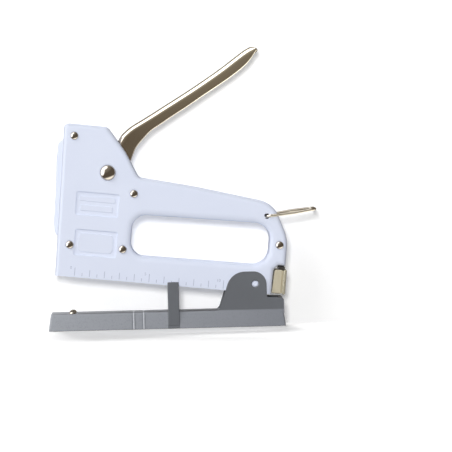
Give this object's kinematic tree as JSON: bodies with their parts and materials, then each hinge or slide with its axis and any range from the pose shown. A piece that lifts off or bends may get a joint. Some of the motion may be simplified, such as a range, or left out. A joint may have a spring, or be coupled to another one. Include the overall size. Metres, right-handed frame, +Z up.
{
  "type": "staple tacker",
  "caption": "Hand staple tacker with a plastic housing, plated squeeze lever and wire lock bail, hinged on a plastic stapling base.",
  "frame": {"origin": "middle of the underside of the rubber sole under the base", "axes": "+Z up out of the surface that the base stands on, -X towards the nose, +Y across the tool towards its right side"},
  "size_m": [0.1811, 0.041, 0.1869],
  "materials": {
    "housing_plastic": "satin injection-moulded plastic, pale lavender white",
    "base_plastic": "matt injection-moulded plastic, slate grey",
    "bright_plate": "nickel plate over pressed steel, polished",
    "gold_plate": "pale yellow zinc plate, satin",
    "tool_steel": "hardened steel, ground",
    "sheet_steel": "bent steel sheet, bright",
    "spring_steel": "spring steel, oiled",
    "rubber": "black rubber, matt"
  },
  "bodies": {
    "base": {"base_tray": "base_plastic", "base_sole": "rubber", "anvil_plate": "bright_plate", "anvil_rivet_left": "bright_plate", "anvil_rivet_right": "bright_plate", "base_leaf_spring": "spring_steel", "leaf_spring_rivet": "bright_plate"},
    "housing": {"housing_left": "housing_plastic", "housing_right": "housing_plastic", "nose_cover": "housing_plastic", "housing_rivet_top": "bright_plate", "housing_rivet_middle": "bright_plate", "housing_rivet_front": "bright_plate", "housing_rivet_low": "bright_plate", "housing_rivet_rear": "bright_plate", "lever_rivet": "bright_plate", "magazine_channel": "sheet_steel", "nose_plate": "sheet_steel", "main_spring": "spring_steel", "spring_cap": "base_plastic", "bumper": "rubber", "lever_return_spring": "spring_steel"},
    "driver": {"plunger": "tool_steel", "driver_blade": "tool_steel"},
    "lever": {"lever_handle": "bright_plate", "lever_claw": "tool_steel", "claw_pin": "tool_steel"},
    "magazine": {"rear_cap": "gold_plate", "core_rail": "sheet_steel", "guide_rod": "tool_steel"},
    "pusher": {"pusher": "tool_steel", "pusher_spring": "spring_steel"},
    "bail": {"lock_bail": "bright_plate"}
  },
  "joints": [
    {"name": "tool_close", "type": "hinge", "parent": "base", "child": "housing", "pos_m": [0.0594, 0, 0.02867], "axis": [0, 1, 0], "range_deg": [-10, 0], "stiffness_Nm_per_rad": 1.5, "springref_deg": 34.38, "deforming": ["base_leaf_spring"]},
    {"name": "lever_squeeze", "type": "hinge", "parent": "housing", "child": "lever", "pos_m": [-0.03733, 0, 0.10532], "axis": [0, 1, 0], "range_deg": [0, 45], "stiffness_Nm_per_rad": 0.5, "springref_deg": -22.92, "deforming": ["lever_return_spring", "main_spring"]},
    {"name": "driver_lift", "type": "slide", "parent": "housing", "child": "driver", "axis": [0.1111, 0, 0.9938], "range_m": [0, 0.0108], "stiffness_N_per_m": 400, "springref_m": -0.01, "deforming": ["main_spring"]},
    {"name": "bail_swing", "type": "hinge", "parent": "housing", "child": "bail", "pos_m": [0.0685, 0, 0.07365], "axis": [0, 1, 0], "range_deg": [-36, 64]},
    {"name": "magazine_slide", "type": "slide", "parent": "housing", "child": "magazine", "axis": [0.9938, 0, -0.1111], "range_m": [0, 0.1]},
    {"name": "pusher_slide", "type": "slide", "parent": "magazine", "child": "pusher", "axis": [0.9938, 0, -0.1111], "range_m": [0, 0.085], "stiffness_N_per_m": 15, "springref_m": -0.06, "deforming": ["pusher_spring"]}
  ],
  "couplings": [
    {"joint": "driver_lift", "follows": "lever_squeeze", "m_per_rad": 0.01365}
  ]
}
